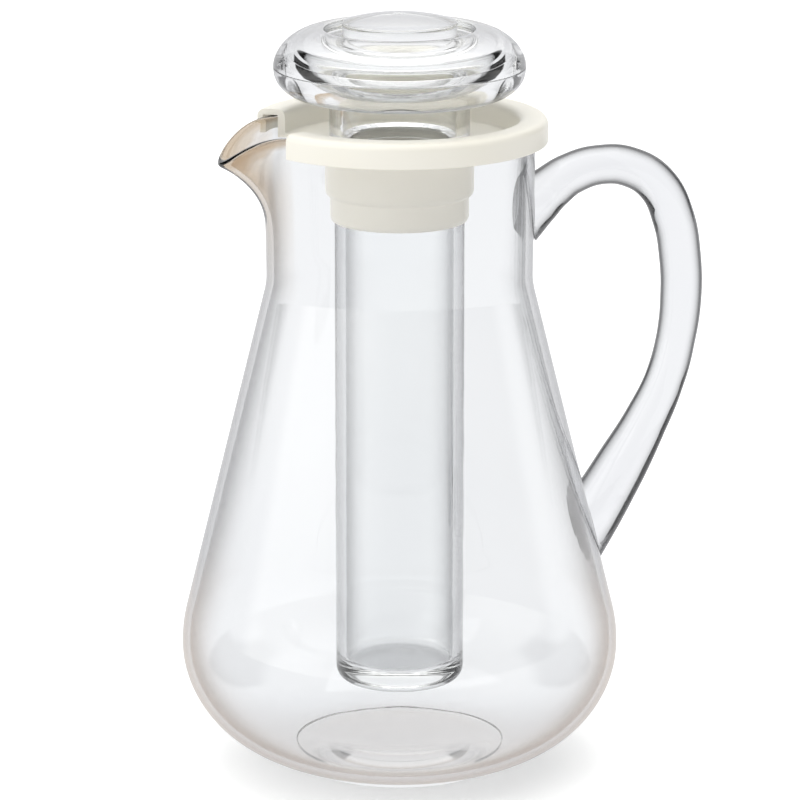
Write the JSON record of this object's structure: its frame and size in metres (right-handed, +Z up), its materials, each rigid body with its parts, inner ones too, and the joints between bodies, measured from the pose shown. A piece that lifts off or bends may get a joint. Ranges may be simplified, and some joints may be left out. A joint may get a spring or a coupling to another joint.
{
  "type": "pitcher",
  "caption": "Clear plastic pitcher with a bellied cone body, pouring spout, looped rod handle, ivory lid ring, hanging ice tube and a round hollow knob.",
  "frame": {"origin": "middle of the flat underside of the foot, on the axis of the round body", "axes": "+Z up along the body's axis, +X towards the handle, -X towards the spout"},
  "size_m": [0.2132, 0.1758, 0.3052],
  "materials": {
    "clear_acrylic": "polished, crystal clear",
    "tube_acrylic": "polished, crystal clear, thick wall",
    "knob_acrylic": "polished, crystal clear, thick wall",
    "ivory_plastic": "semi-gloss moulded"
  },
  "bodies": {
    "pitcher": {"pitcher_body": "clear_acrylic", "handle": "clear_acrylic"},
    "lid_ring": {"collar": "ivory_plastic"},
    "tube": {"ice_tube": "tube_acrylic"},
    "knob": {"knob_lower_shell": "knob_acrylic", "knob_upper_shell": "knob_acrylic"}
  },
  "joints": [
    {"name": "lid_ring_lift", "type": "slide", "parent": "pitcher", "child": "lid_ring", "axis": [0, 0, 1], "range_m": [0, 0.24]},
    {"name": "ice_tube_lift", "type": "slide", "parent": "lid_ring", "child": "tube", "axis": [0, 0, 1], "range_m": [0, 0.24]},
    {"name": "knob_lift", "type": "slide", "parent": "tube", "child": "knob", "axis": [0, 0, 1], "range_m": [0, 0.03]}
  ]
}
